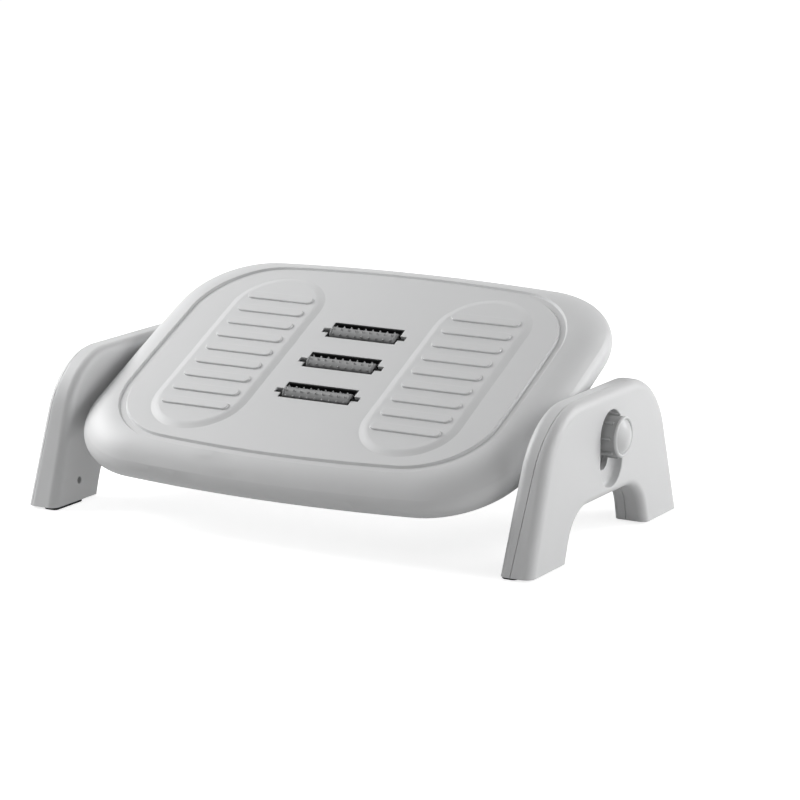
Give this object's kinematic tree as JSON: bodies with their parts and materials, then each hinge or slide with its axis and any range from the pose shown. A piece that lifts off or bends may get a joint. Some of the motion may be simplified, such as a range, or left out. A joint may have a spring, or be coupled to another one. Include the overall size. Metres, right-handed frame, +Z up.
{
  "type": "massage roller footrest",
  "caption": "Tilting footrest with a rounded tray between two arched stands, ribbed foot pads, studded massage rollers and side clamp knobs.",
  "frame": {"origin": "on the floor, at the middle of the footprint", "axes": "+X to the right, seen from the front; +Y to the back, where the platform is high; +Z up"},
  "size_m": [0.5376, 0.3176, 0.1994],
  "materials": {
    "platform_plastic": "satin moulded light grey",
    "stand_plastic": "satin moulded light grey",
    "roller_plastic": "satin mid grey",
    "dark_plastic": "black moulded",
    "knob_plastic": "satin mid grey",
    "cap_plastic": "satin grey",
    "foot_rubber": "matt black rubber",
    "screw_steel": "zinc plated",
    "insert_brass": "turned brass"
  },
  "bodies": {
    "stands": {"left_stand_inner_shell": "stand_plastic", "left_stand_outer_cover": "stand_plastic", "right_stand_outer_shell": "stand_plastic", "right_stand_inner_cover": "stand_plastic", "stand_screws": "screw_steel", "left_front_rubber_foot": "foot_rubber", "left_back_rubber_foot": "foot_rubber", "right_front_rubber_foot": "foot_rubber", "right_back_rubber_foot": "foot_rubber"},
    "carriage": {"left_slide_block": "dark_plastic", "right_slide_block": "dark_plastic", "left_friction_washer": "foot_rubber", "right_friction_washer": "foot_rubber"},
    "platform": {"platform_top_shell": "platform_plastic", "platform_base": "platform_plastic", "roller_cradle": "dark_plastic", "platform_screws": "screw_steel", "front_roller_axle": "dark_plastic", "middle_roller_axle": "dark_plastic", "rear_roller_axle": "dark_plastic", "left_pivot_bolt": "screw_steel", "right_pivot_bolt": "screw_steel"},
    "left_knob": {"left_knob_body": "knob_plastic", "left_knob_cap": "cap_plastic", "left_knob_insert": "insert_brass"},
    "right_knob": {"right_knob_body": "knob_plastic", "right_knob_cap": "cap_plastic", "right_knob_insert": "insert_brass"},
    "front_roller_body": {"front_roller": "roller_plastic"},
    "middle_roller_body": {"middle_roller": "roller_plastic"},
    "rear_roller_body": {"rear_roller": "roller_plastic"}
  },
  "joints": [
    {"name": "height_slide", "type": "slide", "parent": "stands", "child": "carriage", "axis": [0, 0, 1], "range_m": [-0.021, 0]},
    {"name": "tilt_hinge", "type": "hinge", "parent": "carriage", "child": "platform", "pos_m": [0, 0.01232, 0.0967], "axis": [1, 0, 0], "range_deg": [-25.7, 4.3]},
    {"name": "right_knob_turn", "type": "hinge", "parent": "platform", "child": "right_knob", "pos_m": [0.25, 0.01232, 0.0967], "axis": [1, 0, 0], "range_deg": [0, 360]},
    {"name": "left_knob_turn", "type": "hinge", "parent": "platform", "child": "left_knob", "pos_m": [-0.25, 0.01232, 0.0967], "axis": [-1, 0, 0], "range_deg": [0, 360]},
    {"name": "front_roller_spin", "type": "hinge", "parent": "platform", "child": "front_roller_body", "pos_m": [0, -0.05904, 0.11413], "axis": [1, 0, 0], "continuous": true},
    {"name": "middle_roller_spin", "type": "hinge", "parent": "platform", "child": "middle_roller_body", "pos_m": [0, -0.01714, 0.13429], "axis": [1, 0, 0], "continuous": true},
    {"name": "rear_roller_spin", "type": "hinge", "parent": "platform", "child": "rear_roller_body", "pos_m": [0, 0.02476, 0.15446], "axis": [1, 0, 0], "continuous": true}
  ]
}
